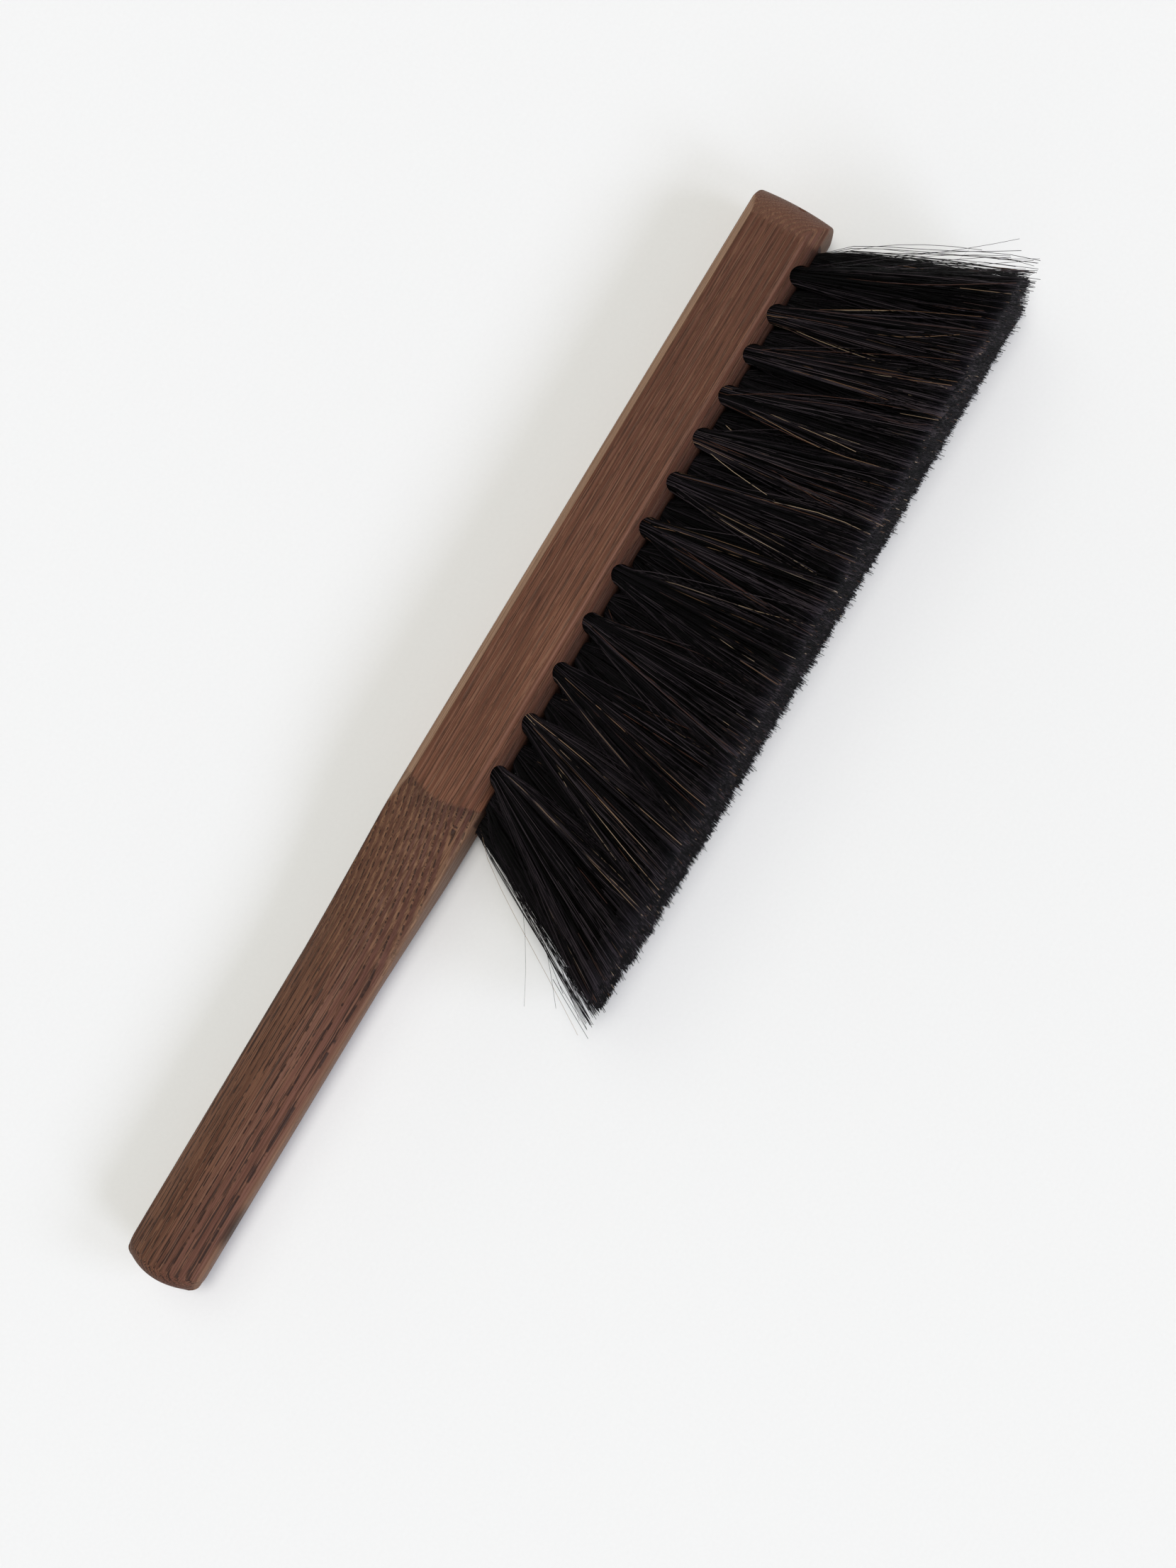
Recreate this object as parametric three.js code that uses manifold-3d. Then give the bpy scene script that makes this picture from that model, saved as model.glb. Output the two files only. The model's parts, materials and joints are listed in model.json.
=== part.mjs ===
// A horsehair bee brush in one piece of thermo-treated wood, lying on its side.
// Millimetres, +Z up. The wood runs along X from the handle's end to the brush's tip, and the hair
// points to -Y. The origin is at the middle of the box's bottom.
//
// Each part is drawn in the brush's own frame first: x along the wood from the handle's end, h across
// it from the straight back towards the hair (so y = -h), and t through its thickness from the middle.
import * as THREE from 'three';
import { mergeVertices } from 'three/addons/utils/BufferGeometryUtils.js';
import Module from 'manifold-3d';

const wasm = await Module();
wasm.setup();

// The wood
const LENGTH = 370;
const WIDTH = 25.8;
const TIP_WIDTH = 25.0;
const THICKNESS = 24;
const BACK_CHAMFER = 2.8;
const HAIR_CHAMFER = [5.1, 4.8]; // across the side face, and down the hair face
const HANDLE_THICKNESS = 17;
const HANDLE_EDGE = 5.4; // the handle's thickness at its two edges, under the crown
const HANDLE_INSET = [0.9, 0.4]; // how far the handle's end is in from the back and from the hair face
const RAMP_START = 105;
const RAMP_END = 165.5;
const END_BOW = 2.7;
const TIP_BOW = 0.8;
const CORNER = 2.0;
const NOSE_RADIUS = 4.5; // round edge of the handle's end
const NOSE_FLAT = 1.2; // half the flat that is left on a rounded end

// The hair
const TRIM = 83.4; // h of the trimmed ends
const TRIM_HALF = 24.5; // half the thickness of the brush at the trimmed ends
const TRIM_SPAN = [134.5, 382]; // x of the trimmed ends' two corners
const END_SPREAD = 1.5; // an end tuft's free half, as a share of its other half
const FIRST_TUFT = 176.8;
const FIRST_PITCH = 18.18;
const PITCH_DROP = 0.477; // each pitch is this much shorter than the one before
const UPRIGHT_X = 252; // a tuft here stands square to the wood
const FAN = [0.2372, -0.000757]; // lean of the trimmed end with distance from there, and its square
const HOLE_RADIUS = 3.3;
const TUFT_RADIUS = 3.0;
const TUFT_SIDES = 10;
const NECK = 11; // how far a tuft stands out of the wood before it opens
const GAP = 0.3;
const ROOT_CLEARANCE = 1.8; // from a hole's bottom to the folded end of its tuft
const WIRE_RADIUS = 0.5;
const WIRE_SIDES = 6;
const WIRE_CLEARANCE = 3.2; // from a hole's bottom to the middle of the draw wire
const PLUG_RADIUS = 1.3;
const PLUG_DEPTH = 6;

// Rows of tufts: t where they leave the wood, t at the trim, how deep the holes are, and each tuft's
// place in pitches from the first of the near row.
const steps = (from, to) => Array.from({ length: Math.round(to - from) + 1 }, (_, i) => from + i);
const ROWS = [
  { name: 'near', faceT: 7.6, trimT: [12.4, 24.5], depth: 14.5, places: steps(0, 11) },
  { name: 'inner_near', faceT: 2.7, trimT: [0.2, 12.1], depth: 10.5, places: [-0.35, ...steps(0.5, 11.5)] },
  { name: 'inner_far', faceT: -2.7, trimT: [-12.1, -0.2], depth: 10.5, places: [-0.75, ...steps(0, 11)] },
  { name: 'far', faceT: -7.6, trimT: [-24.5, -12.4], depth: 14.5, places: [...steps(0.5, 10.5), 11.35] },
];

const COLOURS = { wood: 0x65443a, hair: 0x141112, wire: 0xa8a59c, plug: 0x7a5646 };

function material(name) {
  const finish = { wood: [0.62, 0], hair: [0.5, 0], wire: [0.35, 1], plug: [0.65, 0] }[name];
  return new THREE.MeshStandardMaterial({ color: COLOURS[name], roughness: finish[0], metalness: finish[1] });
}

// A three.js geometry as a solid that can be joined and cut, and back again.
function solid(geometry) {
  const bare = geometry.clone();
  bare.deleteAttribute('normal');
  bare.deleteAttribute('uv');
  const merged = mergeVertices(bare, 1e-4);
  const triVerts = new Uint32Array(merged.index.array);
  const vertProperties = new Float32Array(merged.attributes.position.array);
  return new wasm.Manifold(new wasm.Mesh({ numProp: 3, vertProperties, triVerts }));
}

function geometryOf(made) {
  const mesh = made.getMesh();
  const geometry = new THREE.BufferGeometry();
  geometry.setAttribute('position', new THREE.BufferAttribute(new Float32Array(mesh.vertProperties), 3));
  geometry.setIndex(new THREE.BufferAttribute(new Uint32Array(mesh.triVerts), 1));
  geometry.computeVertexNormals();
  return geometry;
}

// Moves every vertex of a geometry to place(vertex).
function reshape(geometry, place) {
  const points = geometry.attributes.position;
  const point = new THREE.Vector3();
  for (let i = 0; i < points.count; i += 1) {
    point.fromBufferAttribute(points, i);
    points.setXYZ(i, ...place(point));
  }
  return geometry;
}

// A round bar between two points.
function bar(from, to, radius, sides) {
  const along = new THREE.Vector3().subVectors(to, from);
  const geometry = new THREE.CylinderGeometry(radius, radius, along.length(), sides);
  const turn = new THREE.Quaternion().setFromUnitVectors(new THREE.Vector3(0, 1, 0), along.clone().normalize());
  geometry.applyQuaternion(turn);
  geometry.translate(...from.clone().addScaledVector(along, 0.5).toArray());
  return geometry;
}

// Half the wood's thickness before its chamfers: a crowned handle, a ramp up to the head, and rounded ends.
function halfThickness(x, h) {
  const crown = ((h - WIDTH / 2) / (WIDTH / 2)) ** 2;
  const up = Math.max(0, x - RAMP_START) / (RAMP_END - RAMP_START);
  const rise = (THICKNESS / 2 + 0.3 - HANDLE_THICKNESS / 2) * up ** 2;
  const sag = ((HANDLE_THICKNESS - HANDLE_EDGE) / 2) * (1 - 0.93 * Math.min(1, up));
  const toNose = Math.max(0, NOSE_RADIUS - x);
  const cut = NOSE_RADIUS - Math.sqrt(NOSE_RADIUS ** 2 - toNose ** 2);
  return Math.max(NOSE_FLAT, HANDLE_THICKNESS / 2 + rise - cut - sag * crown);
}

function tipHalfThickness(x) {
  const radius = THICKNESS / 2;
  const past = Math.max(0, x - (LENGTH - radius));
  return Math.max(NOSE_FLAT, Math.sqrt(Math.max(0, radius ** 2 - past ** 2)));
}

// The wood's thickness as one block whose two big faces follow halfThickness.
function thicknessBlock() {
  const nose = steps(0, 6).map((i) => NOSE_RADIUS * (1 - Math.cos((i * Math.PI) / 12)));
  const ramp = steps(1, 14).map((i) => RAMP_START + (i * (RAMP_END - RAMP_START)) / 14);
  const tip = steps(0, 7).map((i) => LENGTH - THICKNESS / 2 + (THICKNESS / 2) * Math.sin((i * Math.PI) / 14));
  const stations = [...nose, 14, RAMP_START, ...ramp, RAMP_END + 4, ...tip];
  const across = 8;
  const block = new THREE.BoxGeometry(1, 1, 1, stations.length - 1, across, 1);
  return reshape(block, (p) => {
    const station = stations[Math.round((p.x + 0.5) * (stations.length - 1))];
    const h = (p.y + 0.5) * WIDTH;
    const fromMiddle = (h - WIDTH / 2) / (WIDTH / 2);
    const bow = END_BOW * fromMiddle ** 2 * Math.max(0, 1 - station / 14);
    const half = station > LENGTH / 2 ? tipHalfThickness(station) : halfThickness(station, h);
    return [station + bow, -h, Math.sign(p.z) * half];
  });
}

// The chamfered section, drawn along the whole wood and a little narrower at the tip.
function sectionPrism() {
  const t = THICKNESS / 2;
  const near = WIDTH - HAIR_CHAMFER[0];
  const edge = t - HAIR_CHAMFER[1];
  const half = [[0, t - BACK_CHAMFER], [BACK_CHAMFER, t], [near, t], [WIDTH, edge]];
  const mirrored = half.map(([h, z]) => [h, -z]).reverse();
  const outline = new THREE.Shape([...half, ...mirrored].map(([h, z]) => new THREE.Vector2(h, z)));
  const prism = new THREE.ExtrudeGeometry(outline, { depth: LENGTH + 20, bevelEnabled: false });
  return reshape(prism, (p) => {
    const narrowed = p.z > LENGTH ? TIP_WIDTH / WIDTH : 1;
    return [p.z - 10, -p.x * narrowed, p.y];
  });
}

// The outline seen from the side face: a bowed handle end, nearly parallel sides and a bowed tip.
function outlinePlate() {
  const [back, hair] = HANDLE_INSET;
  const low = WIDTH - hair;
  const outline = new THREE.Shape();
  outline.moveTo(RAMP_END, 0);
  outline.lineTo(END_BOW + CORNER, back);
  outline.quadraticCurveTo(END_BOW, back, END_BOW - 0.5, back + CORNER);
  outline.quadraticCurveTo(-END_BOW + 0.4, WIDTH / 2, END_BOW - 0.7, low - CORNER);
  outline.quadraticCurveTo(END_BOW - 0.4, low, END_BOW + CORNER, low);
  outline.lineTo(RAMP_START, low);
  outline.lineTo(RAMP_END - 20, WIDTH);
  outline.lineTo(RAMP_END + 20, WIDTH);
  outline.lineTo(LENGTH - TIP_BOW - CORNER, TIP_WIDTH);
  outline.quadraticCurveTo(LENGTH - TIP_BOW / 2, TIP_WIDTH, LENGTH - TIP_BOW / 4, TIP_WIDTH - CORNER);
  outline.quadraticCurveTo(LENGTH + TIP_BOW / 2, WIDTH / 2, LENGTH - TIP_BOW, CORNER);
  outline.quadraticCurveTo(LENGTH - TIP_BOW - 0.3, 0, LENGTH - TIP_BOW - CORNER, 0);
  outline.closePath();
  const options = { depth: 2 * THICKNESS, bevelEnabled: false, curveSegments: 5 };
  const plate = new THREE.ExtrudeGeometry(outline, options);
  // Seen with h downwards the outline runs the other way round, so the plate is turned over.
  plate.applyMatrix4(new THREE.Matrix4().makeRotationX(Math.PI));
  plate.translate(0, 0, THICKNESS);
  return plate;
}

// Where a tuft stands: its middle at the hair face, at the trim, and the way its hole goes into the wood.
function faceX(place) {
  return FIRST_TUFT + FIRST_PITCH * place - (PITCH_DROP * place * (place - 1)) / 2;
}

function trimX(place) {
  const from = faceX(place) - UPRIGHT_X;
  return faceX(place) + FAN[0] * from + FAN[1] * from ** 2;
}

function axis(row, place) {
  const start = new THREE.Vector3(faceX(place), -WIDTH, row.faceT);
  const end = new THREE.Vector3(trimX(place), -TRIM, (row.trimT[0] + row.trimT[1]) / 2);
  return { start, slope: end.clone().sub(start).divideScalar(TRIM - WIDTH), end };
}

// A point on a tuft's axis, at a distance outwards from the hair face.
function along(line, distance) {
  return line.start.clone().addScaledVector(line.slope, distance);
}

// The trimmed end of each tuft of a row is its share of the brush's cut face, from x to x. The two end
// tufts open further on their free sides.
function trimShares(row) {
  const middles = row.places.map(trimX);
  const between = middles.slice(1).map((x, i) => (x + middles[i]) / 2);
  const last = middles.length - 1;
  const left = middles[0] - END_SPREAD * (between[0] - middles[0]);
  const right = middles[last] + END_SPREAD * (middles[last] - between[last - 1]);
  const edges = [Math.max(left, TRIM_SPAN[0]), ...between, Math.min(right, TRIM_SPAN[1])];
  return middles.map((_, i) => [edges[i] + GAP / 2, edges[i + 1] - GAP / 2]);
}

// A tuft: round in its hole, and widening to a block with round corners at the trim.
function tuft(row, place, share) {
  const line = axis(row, place);
  const levels = [ROOT_CLEARANCE - row.depth, NECK, 26, 42, TRIM - WIDTH];
  const geometry = new THREE.CylinderGeometry(1, 1, 1, TUFT_SIDES, levels.length - 1);
  reshape(geometry, (p) => {
    const level = levels[Math.round((0.5 - p.y) * (levels.length - 1))];
    const flare = Math.max(0, level - NECK) / (TRIM - WIDTH - NECK);
    const power = 2 + 3 * flare;
    const size = (Math.abs(p.x) ** power + Math.abs(p.z) ** power) ** (1 / power) || 1;
    const mid = along(line, level);
    const halfX = THREE.MathUtils.lerp(TUFT_RADIUS, (share[1] - share[0]) / 2, flare);
    const halfT = THREE.MathUtils.lerp(TUFT_RADIUS, (row.trimT[1] - row.trimT[0]) / 2, flare);
    const shift = ((share[0] + share[1]) / 2 - line.end.x) * flare;
    return [mid.x + shift + (halfX * p.x) / size, mid.y, mid.z + (halfT * p.z) / size];
  });
  const eye = along(line, WIRE_CLEARANCE - row.depth);
  const reach = new THREE.Vector3(2 * TUFT_RADIUS, 0, 0);
  const cut = bar(eye.clone().sub(reach), eye.clone().add(reach), WIRE_RADIUS + GAP, WIRE_SIDES);
  return geometryOf(solid(geometry).subtract(solid(cut)));
}

// A row's draw wire lies in a channel bored from the tip, and a plug closes the channel's mouth.
function wireLine(row) {
  const line = axis(row, row.places[0]);
  const eye = along(line, WIRE_CLEARANCE - row.depth);
  const from = new THREE.Vector3(eye.x - 2 * TUFT_RADIUS, eye.y, eye.z);
  const mouth = new THREE.Vector3(LENGTH - PLUG_DEPTH, eye.y, eye.z);
  return { from, mouth };
}

function woodBody() {
  let body = solid(thicknessBlock()).intersect(solid(sectionPrism())).intersect(solid(outlinePlate()));
  for (const row of ROWS) {
    for (const place of row.places) {
      const line = axis(row, place);
      const hole = bar(along(line, -row.depth), along(line, 12), HOLE_RADIUS, TUFT_SIDES);
      body = body.subtract(solid(hole));
    }
    const { from, mouth } = wireLine(row);
    const end = mouth.clone().setX(LENGTH + 5);
    body = body.subtract(solid(bar(from, end, WIRE_RADIUS + GAP, WIRE_SIDES)));
    body = body.subtract(solid(bar(mouth, end, PLUG_RADIUS + GAP, 12)));
  }
  return geometryOf(body);
}

function named(name, geometry, look) {
  const mesh = new THREE.Mesh(geometry, material(look));
  mesh.name = name;
  return mesh;
}

function rowParts(row) {
  const parts = new THREE.Group();
  const shares = trimShares(row);
  row.places.forEach((place, i) => {
    const number = String(i + 1).padStart(2, '0');
    parts.add(named(`tuft_${row.name}_${number}`, tuft(row, place, shares[i]), 'hair'));
  });
  const { from, mouth } = wireLine(row);
  const start = from.clone().setX(from.x + GAP);
  const end = mouth.clone().setX(mouth.x - GAP);
  parts.add(named(`draw_wire_${row.name}`, bar(start, end, WIRE_RADIUS, WIRE_SIDES), 'wire'));
  const plugEnd = LENGTH - THICKNESS / 2 + Math.sqrt((THICKNESS / 2) ** 2 - mouth.z ** 2) - 0.8;
  const plugStart = mouth.clone().setX(mouth.x + GAP);
  parts.add(named(`end_plug_${row.name}`, bar(plugStart, mouth.clone().setX(plugEnd), PLUG_RADIUS, 12), 'plug'));
  return parts;
}

// The brush lies on the far edge of its back and on the far edge of the trimmed hair.
const roll = Math.atan2(TRIM_HALF - THICKNESS / 2, TRIM - BACK_CHAMFER);
const brush = new THREE.Group();
brush.add(named('wood_body', woodBody(), 'wood'));
ROWS.forEach((row) => brush.add(rowParts(row)));
brush.rotation.x = -roll;

const model = new THREE.Group();
model.add(brush);
model.updateMatrixWorld(true);
const box = new THREE.Box3().setFromObject(model, true);
brush.position.set(-(box.min.x + box.max.x) / 2, -(box.min.y + box.max.y) / 2, -box.min.z);

export default model;
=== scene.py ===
"""A horsehair bee brush in thermo-treated wood, lying on its side on a pale floor.

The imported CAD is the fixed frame. Here the wood gets its fine surface and every tuft becomes real
hair. Shapes are drawn in the brush's own frame in millimetres: x along the wood from the handle's
end, h across it from the straight back towards the hair, and t through its thickness from the
middle. Blender holds them in metres as (x, -h, t), turned and moved to where the CAD lies.
"""

import json
import math

import bpy
import numpy as np
from mathutils import Matrix, Vector

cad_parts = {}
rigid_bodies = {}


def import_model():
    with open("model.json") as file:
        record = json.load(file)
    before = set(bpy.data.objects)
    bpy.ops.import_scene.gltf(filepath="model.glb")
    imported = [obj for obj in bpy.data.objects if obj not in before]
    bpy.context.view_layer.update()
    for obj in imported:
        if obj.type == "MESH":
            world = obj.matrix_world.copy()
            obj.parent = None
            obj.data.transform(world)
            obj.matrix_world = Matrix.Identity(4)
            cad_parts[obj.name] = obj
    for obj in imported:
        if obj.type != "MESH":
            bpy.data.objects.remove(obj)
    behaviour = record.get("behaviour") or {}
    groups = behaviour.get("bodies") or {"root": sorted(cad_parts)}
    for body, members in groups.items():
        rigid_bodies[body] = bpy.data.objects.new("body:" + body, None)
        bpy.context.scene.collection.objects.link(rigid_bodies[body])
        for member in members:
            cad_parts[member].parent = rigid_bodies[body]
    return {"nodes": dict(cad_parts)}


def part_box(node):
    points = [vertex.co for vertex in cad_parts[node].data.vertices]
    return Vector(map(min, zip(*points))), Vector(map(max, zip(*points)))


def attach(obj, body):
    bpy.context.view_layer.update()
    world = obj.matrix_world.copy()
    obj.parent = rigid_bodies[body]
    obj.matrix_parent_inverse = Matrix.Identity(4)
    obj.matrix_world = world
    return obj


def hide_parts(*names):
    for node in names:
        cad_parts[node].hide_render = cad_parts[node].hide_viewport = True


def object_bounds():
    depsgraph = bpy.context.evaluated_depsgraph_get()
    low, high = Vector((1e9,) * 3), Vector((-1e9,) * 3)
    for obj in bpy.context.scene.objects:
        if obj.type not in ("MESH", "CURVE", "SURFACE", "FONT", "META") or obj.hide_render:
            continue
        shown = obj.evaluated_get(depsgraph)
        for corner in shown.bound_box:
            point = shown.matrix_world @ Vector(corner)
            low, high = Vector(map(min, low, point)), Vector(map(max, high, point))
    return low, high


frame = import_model()
CAD_LOW, CAD_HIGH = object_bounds()

MM = 0.001
SEED = 11

# The wood, in the CAD's dimensions
LENGTH = 370
WIDTH = 25.8
TIP_WIDTH = 25.0
THICKNESS = 24
BACK_CHAMFER = 2.8
HAIR_CHAMFER = (5.1, 4.8)  # across the side face, and down the hair face
HANDLE_THICKNESS = 17
HANDLE_EDGE = 5.4  # the handle's thickness at its two edges, under the crown
HANDLE_INSET = (0.9, 0.4)  # how far the handle's end is in from the back and from the hair face
RAMP_START = 105
RAMP_END = 165.5
RAMP_OVER = 0.3  # how far past the side face the ramp would climb
CROWN_LOSS = 0.93  # the share of the crown that is gone at the top of the ramp
FULL_WIDTH = (RAMP_END - 20, RAMP_END + 20)  # x between which the wood is WIDTH across
END_BOW = 2.7  # how far the corners of the handle's end are behind its middle
TIP_BOW = 0.8
CORNER = 2.0
TIP_CORNER = 0.8
END_REACH = 14  # how far along the wood a bowed end reaches
NOSE_RADIUS = 4.5  # round edge of the handle's end
NOSE_FLAT = 1.2  # half the flat that is left on a rounded end
EDGE_ROUND = 0.5  # worn edges along the wood
THIN_EDGE = 0.72  # the least half thickness, at a worn edge of a rounded end
FACE_BLEND = 0.06  # how softly the ramp and the round tip meet the side face
TRIM = 83.4  # h of the trimmed ends
TRIM_HALF = 24.5  # half the thickness of the brush at the trimmed ends
HOLE_RADIUS = 3.3
HOLE_DEPTH = {"near": 14.5, "inner_near": 10.5, "inner_far": 10.5, "far": 14.5}
NECK = 11  # how far a CAD tuft stands out of the wood before it opens
CHANNEL_RADIUS = 0.8  # of the bored channel that a draw wire lies in
PLUG_HOLE_RADIUS = 1.33
PLUG_ROOM = 0.3  # from a wire's or plug's inner end to the bottom of its bore

# The brush lies on the far edge of its back and on the far edge of the trimmed hair.
ROLL = math.atan2(TRIM_HALF - THICKNESS / 2, TRIM - BACK_CHAMFER)
WOOD_LOW, WOOD_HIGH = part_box("wood_body")
ORIGIN = Vector((
    WOOD_LOW.x,
    WOOD_HIGH.y - (THICKNESS / 2 - BACK_CHAMFER) * math.sin(ROLL) * MM,
    WOOD_LOW.z + (THICKNESS / 2 * math.cos(ROLL) - BACK_CHAMFER * math.sin(ROLL)) * MM,
))
BRUSH = Matrix.Translation(ORIGIN) @ Matrix.Rotation(-ROLL, 4, "X")

rng = np.random.default_rng(SEED)


# Meshes

def new_object(name, mesh):
    made = bpy.data.objects.new(name, mesh)
    bpy.context.scene.collection.objects.link(made)
    return made


def mesh_from(name, points, faces):
    """A mesh from brush points (x, h, t) and a list of face arrays, each with faces of one size."""
    points = np.asarray(points, float).reshape(-1, 3) * (MM, -MM, MM)
    mesh = bpy.data.meshes.new(name)
    mesh.vertices.add(len(points))
    mesh.vertices.foreach_set("co", points.astype(np.float32).ravel())
    sizes = np.concatenate([np.full(len(f), f.shape[1]) for f in faces])
    mesh.loops.add(int(sizes.sum()))
    mesh.polygons.add(len(sizes))
    corners = np.concatenate([f.ravel() for f in faces])
    starts = np.concatenate([[0], np.cumsum(sizes)[:-1]])
    mesh.loops.foreach_set("vertex_index", corners.astype(np.int32))
    mesh.polygons.foreach_set("loop_start", starts.astype(np.int32))
    mesh.polygons.foreach_set("use_smooth", np.ones(len(sizes), bool))
    mesh.update(calc_edges=True)
    mesh.validate()
    return mesh


def finish_piece(piece, materials, slot, *nodes):
    """Gives a piece its materials, puts it on the root body and hides the CAD nodes that it stands
    for.
    """
    for material in materials:
        piece.data.materials.append(material)
    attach(piece, "root")
    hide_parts(*nodes)


# The wood's shape

def soft_min(a, b, blend):
    """The smaller of two heights, with the corner where they cross rounded off."""
    return np.minimum(a, b) - np.maximum(blend - np.abs(a - b), 0) ** 2 / (4 * blend)


def fade(distance, width):
    """0 up to the start of a soft step, and 1 from its width on."""
    return np.clip(distance / width, 0, 1)


def up_ramp(x):
    """0 on the handle and 1 at the top of the ramp."""
    return np.maximum(0, x - RAMP_START) / (RAMP_END - RAMP_START)


def crown_sag(x, h):
    """How far the crowned handle falls from its middle towards its two edges."""
    crown = ((h - WIDTH / 2) / (WIDTH / 2)) ** 2
    left = 1 - CROWN_LOSS * np.minimum(1, up_ramp(x))
    return (HANDLE_THICKNESS - HANDLE_EDGE) / 2 * left * crown


def handle_half(x, h):
    """Half the thickness of the crowned handle and of the ramp that climbs to the head."""
    rise = (THICKNESS / 2 + RAMP_OVER - HANDLE_THICKNESS / 2) * up_ramp(x) ** 2
    cut = NOSE_RADIUS - np.sqrt(NOSE_RADIUS ** 2 - np.maximum(0, NOSE_RADIUS - x) ** 2)
    return np.maximum(NOSE_FLAT, HANDLE_THICKNESS / 2 + rise - cut - crown_sag(x, h))


def tip_half(x):
    """Half the thickness of the head's round tip."""
    radius = THICKNESS / 2
    past = np.maximum(0, x - (LENGTH - radius))
    return np.maximum(NOSE_FLAT, np.sqrt(np.maximum(0, radius ** 2 - past ** 2)))


def edge_drop(distance, radius):
    """How far a rounded edge falls below its corner, at a distance in from it."""
    inside = np.clip(radius - distance, 0, radius)
    return radius - np.sqrt(radius ** 2 - inside ** 2)


def wood_stations():
    """Places along the wood, closer together on the ramp and on the rounded ends."""
    past_ramp = RAMP_END + 2
    tip_start = LENGTH - THICKNESS / 2
    nose = NOSE_RADIUS * (1 - np.cos(np.linspace(0, math.pi / 2, 12)))
    handle = np.linspace(nose[-1], RAMP_START, 26)[1:]
    ramp = np.linspace(RAMP_START, past_ramp, 90)[1:]
    head = np.linspace(past_ramp, tip_start, 60)[1:]
    tip = tip_start + THICKNESS / 2 * np.sin(np.linspace(0, math.pi / 2, 22))[1:]
    return np.concatenate([nose, handle, ramp, head, tip])


def wood_across():
    """Places across the wood, closer together at the edges of the faces."""
    edges = (0, BACK_CHAMFER, WIDTH - HAIR_CHAMFER[0], WIDTH)
    near_edge = 0.9 * np.sin(np.linspace(-math.pi / 2, math.pi / 2, 11))
    fine = [edge + near_edge for edge in edges]
    places = np.concatenate([*fine, np.linspace(0, WIDTH, 27)])
    return np.unique(np.clip(places, 0, WIDTH).round(3))


def back_edge(x):
    """h of the wood's straight back."""
    along_handle = fade(x - END_BOW - CORNER, RAMP_END - END_BOW - CORNER)
    return HANDLE_INSET[0] * (1 - along_handle)


def hair_edge(x):
    """h of the face that the hair stands in, and of the handle's lower edge."""
    widen = fade(x - RAMP_START, FULL_WIDTH[0] - RAMP_START)
    narrow = (WIDTH - TIP_WIDTH) * fade(x - FULL_WIDTH[1], LENGTH - FULL_WIDTH[1])
    return WIDTH - HANDLE_INSET[1] * (1 - widen) - narrow


def wood_mesh():
    """The wood without its holes: rings of points across it, from the handle's end to the tip."""
    x, h = np.meshgrid(wood_stations(), wood_across(), indexing="ij")
    wide = back_edge(x) + h / WIDTH * (hair_edge(x) - back_edge(x))

    half = soft_min(handle_half(x, h), tip_half(x), FACE_BLEND)
    half = soft_min(half, np.full_like(half, THICKNESS / 2), FACE_BLEND)
    back_chamfer = THICKNESS / 2 - BACK_CHAMFER + h
    slope = HAIR_CHAMFER[1] / HAIR_CHAMFER[0]
    hair_chamfer = THICKNESS / 2 - (h - (WIDTH - HAIR_CHAMFER[0])) * slope
    half = soft_min(half, soft_min(back_chamfer, hair_chamfer, EDGE_ROUND), EDGE_ROUND)
    wall = np.minimum(h, WIDTH - h)
    half = np.maximum(half - edge_drop(wall, EDGE_ROUND), THIN_EDGE)

    middle = ((h - WIDTH / 2) / (WIDTH / 2)) ** 2
    handle_end = (END_BOW * middle + edge_drop(wall, CORNER)) * fade(END_REACH - x, END_REACH)
    tip_end = TIP_BOW * middle + edge_drop(wall, TIP_CORNER)
    tip_end *= fade(x - LENGTH + END_REACH, END_REACH)
    along = x + handle_end - tip_end

    upper = np.stack([along, wide, half], -1)
    lower = np.stack([along, wide, -half], -1)[:, ::-1]
    rings = np.concatenate([upper, lower], 1)
    points, faces = tube_faces(rings)
    return mesh_from("wood_body", points, faces)


def tube_faces(rings, first=0):
    """Points and faces of a closed tube from rings of points, whose end rings are capped across."""
    count, around = rings.shape[:2]
    index = np.arange(count * around).reshape(count, around) + first
    turned = np.roll(index, -1, 1)
    sides = np.stack([index[:-1], index[1:], turned[1:], turned[:-1]], -1).reshape(-1, 4)
    pair = np.arange(around // 2 - 1)
    first_cap, last_cap = (
        np.stack([ring[pair], ring[pair + 1], ring[around - 2 - pair], ring[around - 1 - pair]], -1)
        for ring in (index[0], index[-1])
    )
    return rings.reshape(-1, 3), [sides, first_cap, last_cap[:, ::-1]]


def cylinder_mesh(name, start, end, radius, sides=28):
    """A closed round bar between two brush points."""
    start, end = np.asarray(start, float), np.asarray(end, float)
    axis = (end - start) / np.linalg.norm(end - start)
    across = np.cross(axis, (0.0, 0.0, 1.0))
    across /= np.linalg.norm(across)
    other = np.cross(axis, across)
    turn = np.linspace(0, 2 * math.pi, sides, endpoint=False)[:, None]
    ring = radius * (np.cos(turn) * across + np.sin(turn) * other)
    points = np.concatenate([start + ring, end + ring])
    index = np.arange(sides)
    following = np.roll(index, -1)
    walls = np.stack([index, index + sides, following + sides, following], -1)
    caps = np.stack([index, index[::-1] + sides])
    return mesh_from(name, points, [walls, caps])


# Where the CAD's tufts stand

def brush_points(node):
    """A CAD node's vertices as brush points (x, h, t) in millimetres."""
    mesh = frame["nodes"][node].data
    points = np.zeros(len(mesh.vertices) * 3, np.float32)
    mesh.vertices.foreach_get("co", points)
    to_brush = np.array(BRUSH.inverted())
    points = points.reshape(-1, 3) @ to_brush[:3, :3].T + to_brush[:3, 3]
    return points * (1, -1, 1) / MM


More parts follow.
